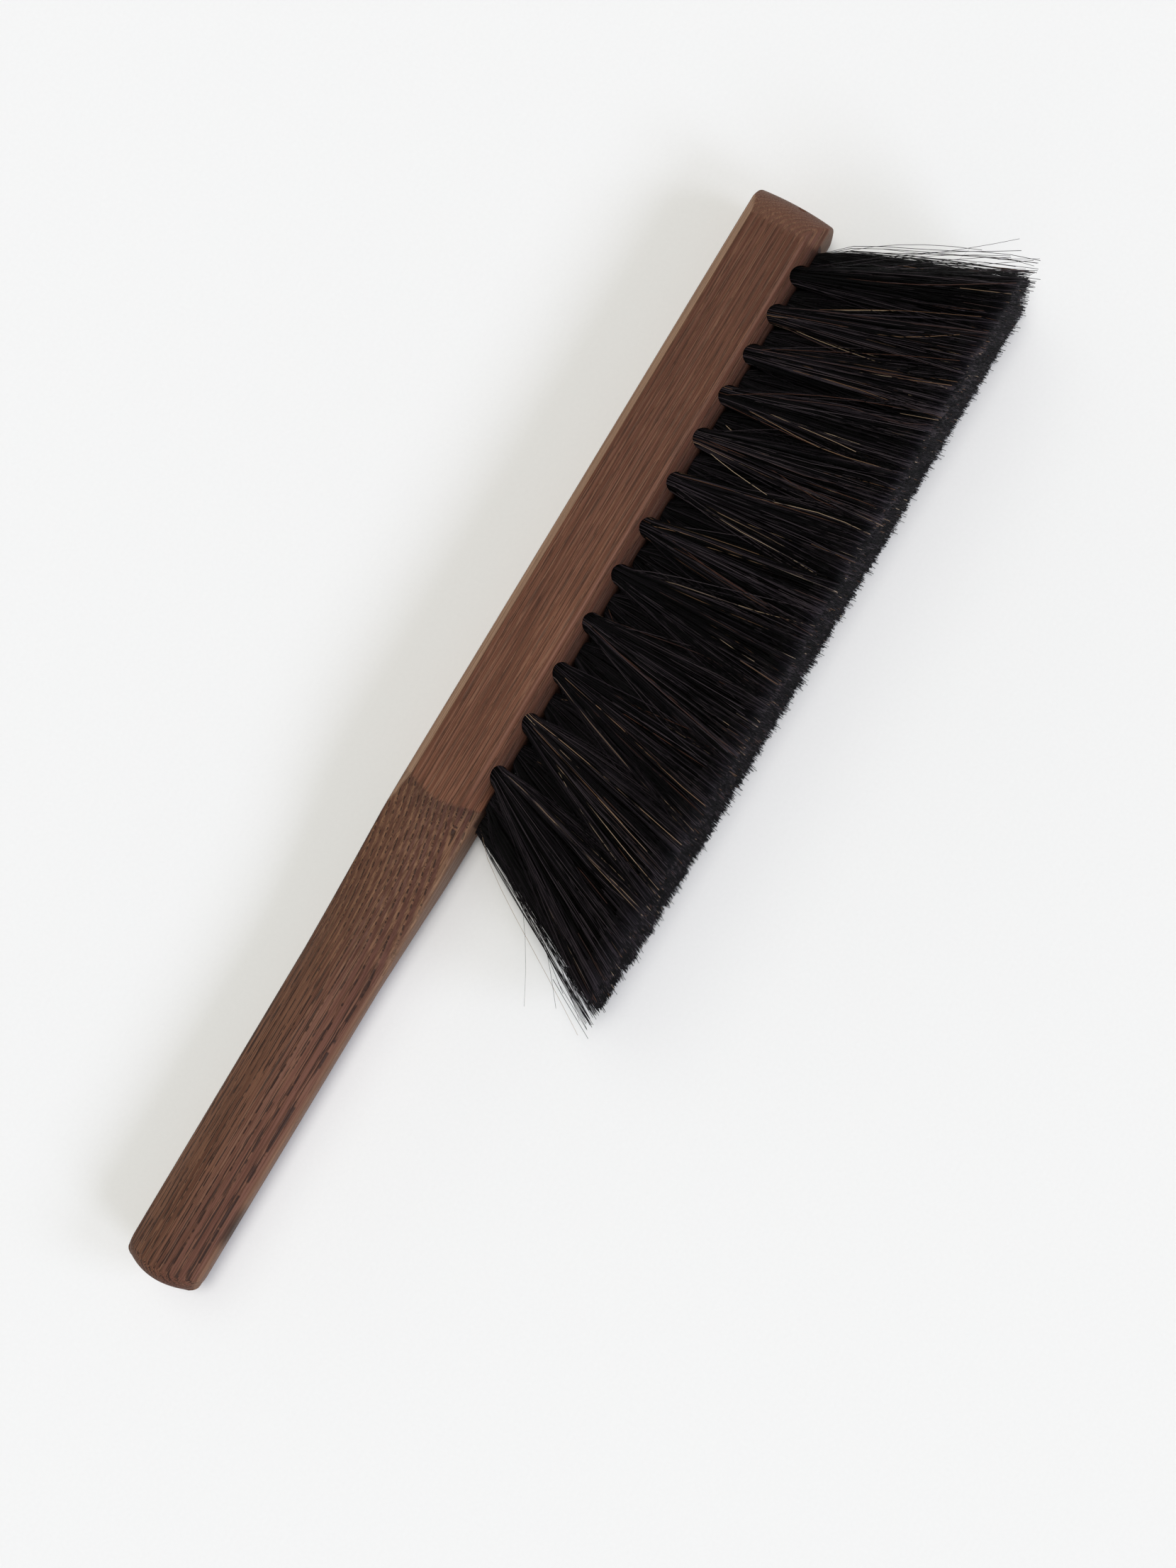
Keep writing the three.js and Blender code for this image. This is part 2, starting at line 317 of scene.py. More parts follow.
def ring_of(points, level):
    """The middle and the half sizes in x and t of a tuft's outline at a level h."""
    same_level = 0.4
    ring = points[np.abs(points[:, 1] - level) < same_level]
    low, high = ring.min(0), ring.max(0)
    middle = (low + high) / 2
    return np.array([middle[0], level, middle[2]]), (high - low)[[0, 2]] / 2


LOCKS = 90  # groups in a tuft whose hairs lie together and were cut together


class Tuft:
    """One tuft's root, neck and trimmed end, read from its CAD node."""

    def __init__(self, node):
        points = brush_points(node)
        self.node = node
        self.row = node[len("tuft_"):-3]
        self.root, _ = ring_of(points, points[:, 1].min())
        self.neck, self.neck_size = ring_of(points, WIDTH + NECK)
        self.trim, self.trim_size = ring_of(points, TRIM)
        self.slope = (self.neck - self.root) / (self.neck[1] - self.root[1])
        self.outer = 0  # -1 or 1 when it is the first or last of its row
        self.locks = rng.uniform(-1, 1, (LOCKS, 2)) * self.trim_size
        self.lock_style = rng.normal(0, 1, (LOCKS, 2))

    def at(self, level):
        """The point of the straight part of the axis at a level h."""
        return self.root + self.slope * (level - self.root[1])


TUFTS = [Tuft(name) for name in sorted(frame["nodes"]) if name.startswith("tuft_")]
for one, following in zip(TUFTS, TUFTS[1:] + TUFTS[:1]):
    if one.row != following.row:
        one.outer, following.outer = 1, -1


# Materials

class Material:
    """Adds nodes to one procedural material and links them to its Principled BSDF."""

    def __init__(self, name):
        self.data = bpy.data.materials.new(name)
        self.data.use_nodes = True
        self.tree = self.data.node_tree
        self.shader = self.tree.nodes["Principled BSDF"]

    def add(self, kind, output=0, inputs=(), **settings):
        made = self.tree.nodes.new("ShaderNode" + kind)
        for key, value in settings.items():
            setattr(made, key, value)
        for key, value in dict(inputs).items():
            self.feed(made.inputs[key], value)
        return made.outputs[output]

    def feed(self, socket, value):
        if isinstance(value, bpy.types.NodeSocket):
            self.tree.links.new(value, socket)
        else:
            socket.default_value = value

    def attribute(self, name):
        return self.add("Attribute", output=2, attribute_name=name)

    def place(self):
        """The object's own coordinates, in metres."""
        return self.add("TexCoord", output=3)

    def math(self, operation, a, b=0.0):
        return self.add("Math", inputs={0: a, 1: b}, operation=operation)

    def times(self, a, b):
        return self.math("MULTIPLY", a, b)

    def times_plus(self, a, b, c):
        return self.add("Math", inputs={0: a, 1: b, 2: c}, operation="MULTIPLY_ADD")

    def noise(self, vector, scale, detail=3.0, rough=0.5):
        inputs = {"Vector": vector, "Scale": scale, "Detail": detail, "Roughness": rough}
        return self.add("TexNoise", inputs=inputs)

    def stretched(self, vector, scale):
        return self.add("VectorMath", inputs={0: vector, 1: scale}, operation="MULTIPLY")

    def band(self, value, low, high, to_low=0.0, to_high=1.0):
        """A soft step from one value to another as the input goes from low to high."""
        inputs = {"Value": value, "From Min": low, "From Max": high}
        inputs.update({"To Min": to_low, "To Max": to_high})
        return self.add("MapRange", inputs=inputs, interpolation_type="SMOOTHSTEP")

    def mix(self, factor, a, b):
        """A colour between two colours."""
        return self.add("Mix", output=2, inputs={0: factor, 6: a, 7: b}, data_type="RGBA")

    def surface(self, colour, roughness, bump=None, strength=0.5, distance=0.1):
        self.feed(self.shader.inputs["Base Color"], colour)
        self.feed(self.shader.inputs["Roughness"], roughness)
        if bump is not None:
            inputs = {"Strength": strength, "Distance": distance * MM, "Height": bump}
            self.feed(self.shader.inputs["Normal"], self.add("Bump", inputs=inputs))


def srgb(red, green, blue):
    """A colour as a screen shows it, from 0 to 255, as the linear colour that a shader takes."""
    return tuple(
        c / 12.92 if c <= 0.04045 else ((c + 0.055) / 1.055) ** 2.4
        for c in (red / 255, green / 255, blue / 255)
    ) + (1.0,)


LAYER = 0.9  # one year's growth
LAYER_TILT = (0.42, 0.91)  # how fast the layers follow one another across h and through t
LAYER_BEND = 1.6
DASHES = {"handle": 0.16, "ramp": 0.62}  # how closely the widest pores follow one another along x

BROWN = {
    "head": (srgb(106, 65, 46), srgb(124, 80, 58)),
    "tip": srgb(88, 52, 37),
    # painted sheen: the handle goes from a painted cool sheen at its lower edge to a painted warm
    # sheen at its back
    "handle": (srgb(98, 63, 53), srgb(108, 77, 58)),  # from its lower edge to its back
    "early_row": srgb(126, 91, 66),
    "late_row": srgb(70, 41, 32),
    "line": srgb(70, 40, 29),
    "pore": srgb(30, 17, 14),
    # painted sheen: the light tan of the chamfers, the bare walls and the handle's lower rim, for the
    # light they catch from the pale surroundings
    "painted_sheen": (srgb(162, 130, 104), srgb(132, 101, 80)),
    # painted highlight: the light line along the ridge of the hair chamfer, and a little lighter on
    # the round tip
    "highlight_brown": srgb(150, 110, 92),
    # painted shade, also used for the knot's own dark wood
    "shade": srgb(34, 19, 16),
}


def wood_pores(m, mm, layer, year, early, turned, ramp):
    """Where the pores are: long thin ones in the early wood, and one row of wide ones each year."""
    row_number = m.times(m.math("FLOOR", year), 7.3)

    def dashes(per_mm):
        along_x = m.add("SeparateXYZ", inputs={0: mm})
        along = m.add("CombineXYZ", inputs={0: m.times(along_x, per_mm), 1: row_number})
        return m.band(m.noise(along, 1.0, 2.0, 0.6), 0.47, 0.53)

    in_row = m.times(m.band(layer, 0.38, 0.46), m.band(layer, 0.64, 0.56))
    dash = m.add("Mix", inputs={0: ramp, 2: dashes(DASHES["handle"]), 3: dashes(DASHES["ramp"])})
    wide = m.times(m.times(dash, in_row), m.band(turned, 0.0, 1.0, 0.3, 0.95))

    grain = m.noise(m.stretched(mm, (0.09, 3.0, 5.0)), 1.0, 2.0, 0.55)
    level = m.band(early, 0.0, 1.0, 0.68, 0.50)
    thin = m.band(m.math("SUBTRACT", grain, level), 0.0, 0.04)
    clear = m.math("SUBTRACT", m.band(turned, 0.0, 1.0, 0.55, 0.9), m.times(ramp, 0.6))
    return m.math("MAXIMUM", m.times(thin, clear), wide)


def wood_material():
    """Brown heat-treated wood, with growth layers nearly in the plane of the side face."""
    m = Material("thermo_wood")
    in_mm = m.add("VectorMath", inputs={0: m.place(), "Scale": 1 / MM}, operation="SCALE")
    x, minus_h = m.add("SeparateXYZ", inputs={0: in_mm}).node.outputs[:2]
    turned = m.attribute("turned_face")
    depth = m.attribute("layer_depth")
    mm = m.add("CombineXYZ", inputs={0: x, 1: minus_h, 2: depth})

    # Growth layers that follow the handle's crown, a little bent, and are cut through by the ramp
    bend = m.noise(m.stretched(mm, (0.006, 0.02, 0.02)), 1.0, 3.0)
    level = m.times_plus(depth, LAYER_TILT[1], m.times(minus_h, -LAYER_TILT[0]))
    year = m.math("DIVIDE", m.times_plus(bend, LAYER_BEND, level), LAYER)
    layer = m.math("FRACT", year)
    early = m.times(m.band(layer, 0.0, 0.2), m.band(layer, 0.75, 0.4))
    ramp = m.times(turned, m.band(x, RAMP_START - 15, RAMP_START + 25))

    pore = wood_pores(m, mm, layer, year, early, turned, ramp)
    lines = m.noise(m.stretched(mm, (0.016, 2.0, 3.6)), 1.0, 4.0, 0.7)
    line = m.band(lines, 0.44, 0.58)

    # Browns: darker towards the tip, lighter and golden at the handle's back as a painted warm sheen
    # and purpler at its lower edge as a painted cool sheen, and golden in the rows on the ramp
    broad = m.noise(m.stretched(mm, (0.012, 0.11, 0.11)), 1.0, 3.0)
    colour = m.mix(m.band(broad, 0.3, 0.7), *BROWN["head"])
    colour = m.mix(m.times(m.band(x, RAMP_END, LENGTH - 20), 0.75), colour, BROWN["tip"])
    # painted warm and cool sheen across the handle
    handle = m.mix(m.band(minus_h, -20.0, -3.0), *BROWN["handle"])
    colour = m.mix(m.times(turned, 0.6), colour, handle)
    colour = m.mix(m.times(early, m.times_plus(ramp, 0.6, 0.3)), colour, BROWN["early_row"])
    late = m.times(m.math("SUBTRACT", 1.0, early), ramp)
    colour = m.mix(m.times(late, 0.5), colour, BROWN["late_row"])
    colour = m.mix(m.times(line, 0.62), colour, BROWN["line"])
    colour = m.mix(m.times(pore, 0.85), colour, BROWN["pore"])

    # The faces and edges that mark_faces names: a painted sheen on the chamfers and bare walls, a
    # painted highlight along the ridge, and painted shade together with the knot's own dark wood
    # painted sheen on the chamfers, the bare walls and the handle's lower rim
    painted_sheen = m.mix(m.band(lines, 0.35, 0.65), *BROWN["painted_sheen"])
    colour = m.mix(m.times(m.attribute("painted_sheen_face"), 0.85), colour, painted_sheen)
    # painted highlight along the ridge, and a little lighter on the round tip
    colour = m.mix(m.attribute("painted_highlight_edge"), colour, BROWN["highlight_brown"])
    # painted shade at the top of the ramp, under the hair and on the wall behind it, and the knot's
    # real dark
    colour = m.mix(m.attribute("painted_shade_and_knot"), colour, BROWN["shade"])
    height = m.math("SUBTRACT", m.times(line, -0.3), pore)
    m.surface(colour, m.band(line, 0.0, 1.0, 0.5, 0.68), height, 0.7, 0.15)
    m.shader.inputs["Specular IOR Level"].default_value = 0.2
    return m.data


def hair_material():
    """Black horsehair with some brown, rust and cream hairs, and grey tints that are painted
    highlights on black hairs.
    """
    m = Material("horsehair")
    tint = m.attribute("tint")
    ramp = m.add("ValToRGB", inputs={"Fac": tint}).node
    # The greys are painted highlights, standing in for glints of light on single black hairs; the
    # browns, rust and cream are hairs of those colours.
    stops = (
        (0.0, srgb(1, 1, 1)),
        (0.3, srgb(6, 5, 7)),
        (0.55, srgb(27, 23, 27)),
        (0.8, srgb(58, 51, 57)),
        (0.9, srgb(74, 66, 70)),
        (0.94, srgb(88, 58, 46)),
        (0.97, srgb(128, 98, 74)),
        (1.0, srgb(206, 184, 156)),
    )
    while len(ramp.color_ramp.elements) < len(stops):
        ramp.color_ramp.elements.new(0.5)
    for element, (position, colour) in zip(ramp.color_ramp.elements, stops):
        element.position = position
        element.color = colour
    m.surface(ramp.outputs["Color"], m.band(tint, 0.0, 1.0, 0.45, 0.35))
    m.shader.inputs["Specular IOR Level"].default_value = 0.12
    return m.data


def core_material():
    """The dark packed middle of a tuft, streaked along the hair."""
    m = Material("packed_hair")
    streak = m.noise(m.stretched(m.place(), (3000, 120, 3000)), 1.0, 3.0)
    colour = m.mix(m.band(streak, 0.35, 0.7), srgb(1, 1, 1), srgb(12, 10, 10))
    m.surface(colour, 0.9, streak, 0.5, 0.2)
    m.shader.inputs["Specular IOR Level"].default_value = 0.0
    return m.data


def wire_material():
    """Drawn steel wire, dulled along its length."""
    m = Material("draw_wire")
    drawn = m.noise(m.stretched(m.place(), (300, 6000, 6000)), 1.0, 3.0)
    colour = m.mix(drawn, srgb(150, 146, 138), srgb(196, 192, 184))
    m.surface(colour, m.band(drawn, 0.3, 0.7, 0.25, 0.45))
    m.shader.inputs["Metallic"].default_value = 1.0
    return m.data


def plug_material():
    """The turned wood of the plugs, with its grain along x."""
    m = Material("plug_wood")
    grain = m.noise(m.stretched(m.place(), (200, 2600, 2600)), 1.0, 4.0)
    colour = m.mix(m.band(grain, 0.3, 0.7), srgb(84, 56, 45), srgb(132, 99, 80))
    m.surface(colour, 0.65, grain, 0.4, 0.1)
    return m.data


def floor_material():
    """Even white paper."""
    m = Material("floor_paper")
    grain = m.noise(m.place(), 900.0, 4.0)
    m.surface(m.mix(grain, srgb(243, 243, 243), srgb(247, 247, 247)), 0.9, grain, 0.05, 0.05)
    m.shader.inputs["Specular IOR Level"].default_value = 0.1
    return m.data


# The wood piece

HAIR_SPAN = (161, 361)  # x between which hair stands in the wood
KNOT = (24.0, 6.0)  # x of the small knot in the handle's lower edge, and half its length


def mark_faces(mesh):
    """Marks the faces that get a painted sheen, the turned handle and ramp, the ridge that gets a
    painted highlight, and the painted shade and the knot.
    """
    points = np.zeros(len(mesh.vertices) * 3, np.float32)
    mesh.vertices.foreach_get("co", points)
    x, h, t = (points.reshape(-1, 3) * (1, -1, 1) / MM).T
    handle = handle_half(x, h)
    half = np.minimum(handle, tip_half(x))
    haired = (x > HAIR_SPAN[0]) & (x < HAIR_SPAN[1])

    # Faces
    back_chamfer = THICKNESS / 2 - BACK_CHAMFER + h
    chamfer = fade(np.minimum(half, THICKNESS / 2) - back_chamfer, 0.3)
    chamfer *= fade(np.minimum(x - RAMP_START, LENGTH - x), 3)
    chamfer *= fade(h - back_edge(x), 0.12)
    wall_half = np.minimum(half, THICKNESS / 2 - HAIR_CHAMFER[1])
    wall = fade(h - hair_edge(x) + 0.3, 0.2) * fade(wall_half - np.abs(t), 0.3)
    turned = fade(THICKNESS / 2 - 0.02 - handle, 0.15)
    tip = fade(x - LENGTH + 11.5, 1.5)
    head = fade(x - RAMP_END, 10) * (1 - turned) * (1 - tip)

    # Edges, and what lies at them: painted shade at the top of the ramp, under the hair and on the
    # wall behind it, a darker line along the handle's back edge, a painted highlight along the ridge,
    # and the knot, which is dark wood
    ramp_foot = turned * fade(handle - THICKNESS / 2 + 1.1, 1.0)
    lower_rim = turned * fade(h - hair_edge(x) + 1.1, 0.3)
    back_rim = turned * fade(back_edge(x) + 0.5 - h, 0.25)
    past_ridge = h - WIDTH + HAIR_CHAMFER[0]
    # painted highlight along the ridge between the side face and the hair chamfer
    ridge = head * np.exp(-((past_ridge / 0.4) ** 2))
    under_hair = head * fade(past_ridge - 0.5, 3.5)
    knot = np.exp(-(((x - KNOT[0]) / KNOT[1]) ** 4)) * fade(h - hair_edge(x) + 1.6, 0.5)

    # painted shade, with the knot's own dark wood
    dark = (0.75 * knot, 0.5 * back_rim, 0.28 * ramp_foot, 0.7 * under_hair, 0.7 * wall * haired)
    marks = {
        # painted sheen: the back chamfer, the walls clear of the hair and the handle's lower rim
        "painted_sheen_face": np.maximum(chamfer, np.maximum(0.55 * wall * ~haired, 0.5 * lower_rim)),
        "turned_face": np.maximum(turned * (1 - chamfer), 0.6 * tip),
        "painted_highlight_edge": np.maximum(0.35 * ridge, 0.15 * tip),
        "painted_shade_and_knot": np.max(dark, 0),
        "layer_depth": t * (1 + 0.85 * turned * crown_sag(x, h) / handle),
    }
    for name, value in marks.items():
        mark = mesh.attributes.new(name, "FLOAT", "POINT")
        mark.data.foreach_set("value", value.astype(np.float32))


def wood_piece(material):
    """The one-piece handle and head, with a hole for each tuft and a channel for each draw wire."""
    body = new_object("wood", wood_mesh())
    cutters = bpy.data.collections.new("cutters")
    bpy.context.scene.collection.children.link(cutters)

    def cut_with(start, end, radius):
        cutter = bpy.data.objects.new("cutter", cylinder_mesh("cutter", start, end, radius))
        cutters.objects.link(cutter)
        tool = body.modifiers.new("cut", "BOOLEAN")
        tool.operation = "DIFFERENCE"
        tool.solver = "MANIFOLD"
        tool.object = cutter

    for tuft in TUFTS:
        depth = HOLE_DEPTH[tuft.row]
        cut_with(tuft.at(WIDTH - depth), tuft.at(WIDTH + 12), HOLE_RADIUS)  # well out of the wood
    for row in HOLE_DEPTH:
        wire = brush_points(f"draw_wire_{row}")
        plug = brush_points(f"end_plug_{row}")
        middle = (plug.min(0) + plug.max(0)) / 2
        outside = middle + (LENGTH, 0, 0)
        cut_with((wire[:, 0].min() - PLUG_ROOM, *middle[1:]), outside, CHANNEL_RADIUS)
        cut_with((plug[:, 0].min() - PLUG_ROOM, *middle[1:]), outside, PLUG_HOLE_RADIUS)
    bpy.context.view_layer.update()
    graph = bpy.context.evaluated_depsgraph_get()
    mesh = bpy.data.meshes.new_from_object(body.evaluated_get(graph))
    body.modifiers.clear()
    body.data = mesh
    for cutter in list(cutters.objects):
        bpy.data.objects.remove(cutter)
    bpy.data.collections.remove(cutters)
    mesh.set_sharp_from_angle(angle=math.radians(38))
    mesh.materials.clear()
    mark_faces(mesh)
    body.matrix_world = BRUSH
    finish_piece(body, (material,), "thermo_wood", "wood_body")


# The hair

HAIRS = 620
END_HAIRS = 420  # short ones, which only thicken the trimmed end
HAIR_RADIUS = 0.11
HAIR_POINTS = 9
SHELL_SHARE = 0.4  # of the hairs, the share that lies on the outside of its tuft
CORE_SHARE = 0.72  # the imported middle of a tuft, as a share of its size
CORE_SHORT = 7.0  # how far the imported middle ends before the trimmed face
HOLE_ROOM = {"hair": 0.2, "core": 0.35}  # from the wall of the hole
OPEN_START = 0.3  # how far out of the wood a tuft begins to open
OPEN_POWER = {"near": 0.78, "inner_near": 0.45, "inner_far": 0.45, "far": 0.5}  # low opens early
OVERLAP = 1.04  # how far a tuft spreads into its neighbours at the trimmed face
GATHERED = 0.45  # how far a hair's end is drawn to the middle of its lock
CUT_ERROR = 0.35  # how unevenly the locks, and the hairs in them, are cut
LOOSE_SHARE = 0.17
LOOSE_REACH = (4.5, 2.5)  # in x and t
SHORT_SHARE = 0.07
LONG_SHARE = 0.03
FLARED_SHARE = 0.15  # in the first and last tuft of a row
SWING = {"hair": (0.8, (0.5, 1.6)), "stray": (1.6, (0.3, 1.0))}  # how far, and how many times
STRAYS = {"near": 12, "inner_near": 5, "inner_far": 5, "far": 5}  # in each tuft
CLEAR_OF_FLOOR = 0.15
BROWN_SHARE, CREAM_SHARE = 0.025, 0.008
BROWN_FROM, CREAM_FROM = 0.9, 0.965  # where in the tint ramp the brown and the cream hairs begin


def flat(pairs):
    """Pairs of (x, t) offsets as (x, h, t) offsets."""
    return np.stack([pairs[..., 0], np.zeros(pairs.shape[:-1]), pairs[..., 1]], -1)


def boxed(cos, sin, power=5.0):
    """Directions on a circle moved out to a block with round corners."""
    reach = (np.abs(cos) ** power + np.abs(sin) ** power) ** (1 / power)
    return np.stack([cos, sin], -1) / reach[..., None]


def opened(tuft, level):
    """How far a tuft has opened from its hole to its share of the trimmed face, at a level h."""
    start = WIDTH + OPEN_START
    return np.clip((level - start) / (TRIM - start), 0, 1.1) ** OPEN_POWER[tuft.row]


def tuft_lines(tuft, root, share, level):
    """Paths from offsets in the hole to offsets in the trimmed face, at levels h."""
    straight = tuft.root + tuft.slope * (level - tuft.root[1])[..., None]
    leap = tuft.trim - tuft.at(TRIM) + flat(share - root)
    return straight + flat(root)[:, None] + leap[:, None] * (1, 0, 1) * opened(tuft, level)[..., None]


def hair_shares(tuft, count, shell_share):
    """Where each hair stands in its hole and in its share of the trimmed face, and where it ends."""
    turn = rng.uniform(0, 2 * math.pi, count)
    radius = np.sqrt(rng.uniform(0, 1, count))
    shell = rng.uniform(0, 1, count) < shell_share
    radius = np.where(shell, rng.uniform(0.8, 1.0, count), radius)[:, None]
    root = radius * np.stack([np.cos(turn), np.sin(turn)], -1) * (HOLE_RADIUS - HOLE_ROOM["hair"])
    share = radius * boxed(np.cos(turn), np.sin(turn)) * tuft.trim_size

    nearest = ((share[:, None] - tuft.locks) ** 2).sum(2).argmin(1)
    gathered = GATHERED * (tuft.locks[nearest] - share)
    share = share * OVERLAP + gathered + rng.normal(0, 0.3, (count, 2))
    longer, tone = tuft.lock_style[nearest].T
    loose = rng.uniform(0, 1, count) < LOOSE_SHARE
    share = share + loose[:, None] * rng.normal(0, 1, (count, 2)) * LOOSE_REACH
    flared = rng.uniform(0, 1, count) < FLARED_SHARE
    share[:, 0] += tuft.outer * flared * rng.exponential(2.0, count)
    outside = np.abs(tuft.trim[2] + share[:, 1]) - TRIM_HALF - 0.4
    share[:, 1] -= np.sign(tuft.trim[2] + share[:, 1]) * np.maximum(outside, 0)
    end = TRIM + CUT_ERROR * longer + rng.normal(0, CUT_ERROR, count)
    end += (rng.uniform(0, 1, count) < LONG_SHARE) * rng.uniform(0.5, 2.0, count)
    return root, share, end, tone


def waved(line, size, turns):
    """Lets each hair swing from side to side, more towards its end."""
    count = len(line)
    reach = np.clip((line[..., 1] - WIDTH - 2) / (TRIM - WIDTH), 0, 1.2)
    for axis in (0, 2):
        phase = rng.uniform(0, 1, (count, 1))
        swing = np.abs(rng.normal(0, size, (count, 1))) * reach
        turn = phase + rng.uniform(*turns, (count, 1)) * reach
        line[..., axis] += swing * np.sin(2 * math.pi * turn)
    return line


def free_levels(tuft, end):
    """Levels h along each hair, from the bottom of its hole and from the wood's face to its end."""
    face = WIDTH - 1
    free = face + (end[:, None] - face) * np.linspace(0, 1, HAIR_POINTS - 1)
    return np.concatenate([np.full((len(end), 1), tuft.root[1]), free], 1)


def hair_lines(tuft, count):
    """The paths of a tuft's hairs, from the bottom of its hole to its share of the trimmed face."""
    root, share, end, tone = hair_shares(tuft, count, SHELL_SHARE)
    short = rng.uniform(0, 1, count) < SHORT_SHARE
    end = np.where(short, TRIM - rng.uniform(1, 24, count), end)
    line = tuft_lines(tuft, root, share, free_levels(tuft, end))
    # painted shade: the hairs of the rows behind the near one are darker, for the shade they lie in
    painted_row_shade = 1.0 if tuft.row == "near" else 0.7
    return waved(line, *SWING["hair"]), hair_tints(count, tone) * painted_row_shade


def end_lines(tuft, count):
    """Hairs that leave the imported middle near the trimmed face."""
    root, share, end, tone = hair_shares(tuft, count, 0.0)
    start = TRIM - CORE_SHORT - rng.uniform(3, 9, count)
    level = start[:, None] + (end - start)[:, None] * np.linspace(0, 1, 3)
    return tuft_lines(tuft, root, share, level), hair_tints(count, 2.2 * tone - 0.3)


def stray_lines(tuft, count):
    """Hairs that cross their neighbours on the tuft's upper side, most in grey as a painted
    highlight, the rest brown and cream.
    """
    root = rng.uniform(-0.6, 0.6, (count, 2)) * HOLE_RADIUS + (0, 0.3 * HOLE_RADIUS)
    along = rng.normal(0, 7.5, count)
    share = np.stack([along, tuft.trim_size[1] * rng.uniform(0.4, 1.05, count)], -1)
    share[:, 0] += tuft.outer * rng.exponential(3.0, count)
    end = TRIM - rng.uniform(0, 1, count) ** 2 * 26
    line = tuft_lines(tuft, root, share, free_levels(tuft, end))
    # painted highlight: most strays are grey, for the light on the tuft's upper side
    grey = rng.uniform(0, 1, count) < 0.6
    tints = np.where(grey, rng.uniform(0.84, 0.9, count), rng.uniform(0.93, 1, count))
    return waved(line, *SWING["stray"]), tints


# Long hairs that spring away from the two ends: their tuft, and from where it leaves the wood
# their bend and their end
LONG_STRAYS = (
    ("tuft_inner_near_01", (-14, 24, 2), (-47, 41, 3)),
    ("tuft_inner_near_01", (-20, 24, 3), (-38, 49, 4)),
    ("tuft_inner_near_01", (-15, 6, 2), (-15, 20, 4)),
    ("tuft_near_01", (-22, 28, 3), (-49, 50, 4)),
    ("tuft_near_01", (-19, 27, 4), (-43, 53, 6)),
    ("tuft_inner_near_13", (16, 12, 2), (27, 42, 3)),
    ("tuft_inner_near_13", (18, 30, 2), (35, 50, 4)),
    ("tuft_near_12", (19, 20, 4), (34, 51, 5)),
    ("tuft_near_12", (4, 36, 6), (30, 40, 7)),
)


def long_strays(tuft):
    """The paths of the tuft's long hairs, each bent once."""
    bends = [(bend, end) for node, bend, end in LONG_STRAYS if node == tuft.node]
    face = tuft.at(WIDTH - 1)
    share = np.linspace(0, 1, HAIR_POINTS - 1)[:, None]
    lines = np.zeros((len(bends), HAIR_POINTS, 3))
    lines[:, 0] = tuft.root
    for line, (bend, end) in zip(lines, bends):
        line[1:] = face + 2 * share * (1 - share) * np.array(bend) + share ** 2 * np.array(end)
    return lines, np.full(len(bends), 0.7)


def core_rings(tuft):
    """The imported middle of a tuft, from inside its hole to a little short of the trimmed face."""
    turn = np.linspace(0, 2 * math.pi, 20, endpoint=False)
    root = np.stack([np.cos(turn), np.sin(turn)], -1) * (HOLE_RADIUS - HOLE_ROOM["core"])
    share = boxed(np.cos(turn), np.sin(turn)) * tuft.trim_size * CORE_SHARE
    levels = np.concatenate([[tuft.root[1]], np.linspace(WIDTH - 1, TRIM - CORE_SHORT, 12)])
    level = np.broadcast_to(levels, (len(turn), len(levels)))
    return tuft_lines(tuft, root, share, level).transpose(1, 0, 2)


def above_floor(line):
    """Lifts what would pass through the floor, under the trimmed far edge."""
    across = CLEAR_OF_FLOOR - ORIGIN.z / MM - line[..., 1] * math.sin(ROLL)
    line[..., 2] = np.maximum(line[..., 2], across / math.cos(ROLL))
    return line


def strand_faces(lines, first):
    """Points and faces of hairs as fine closed three-sided tubes."""
    lines = above_floor(lines)
    count, steps = lines.shape[:2]
    turn = np.linspace(0, 2 * math.pi, 3, endpoint=False)
    ring = np.stack([np.cos(turn), np.zeros(3), np.sin(turn)], -1)
    thick = HAIR_RADIUS * rng.uniform(0.75, 1.2, (count, 1)) * np.linspace(1.05, 0.85, steps)
    points = (lines[:, :, None] + ring * thick[..., None, None]).reshape(-1, 3)
    index = np.arange(count * steps * 3).reshape(count, steps, 3) + first
    turned = np.roll(index, -1, 2)
    sides = np.stack([index[:, :-1], turned[:, :-1], turned[:, 1:], index[:, 1:]], -1).reshape(-1, 4)
    ends = np.concatenate([index[:, 0, ::-1], index[:, -1]])
    return points, [sides, ends]


def hair_tints(count, tone):
    """Where in the tint ramp each hair is: mostly black, some up in the grey that is painted
    highlight, and a little lighter in a light lock.
    """
    tints = np.clip(rng.gamma(1.5, 0.24, count) + 0.17 * tone, 0.0, BROWN_FROM - 0.01)
    brown = rng.uniform(0, 1, count) < BROWN_SHARE
    cream = rng.uniform(0, 1, count) < CREAM_SHARE
    tints = np.where(brown, rng.uniform(BROWN_FROM, CREAM_FROM, count), tints)
    return np.where(cream, rng.uniform(CREAM_FROM, 1.0, count), tints)


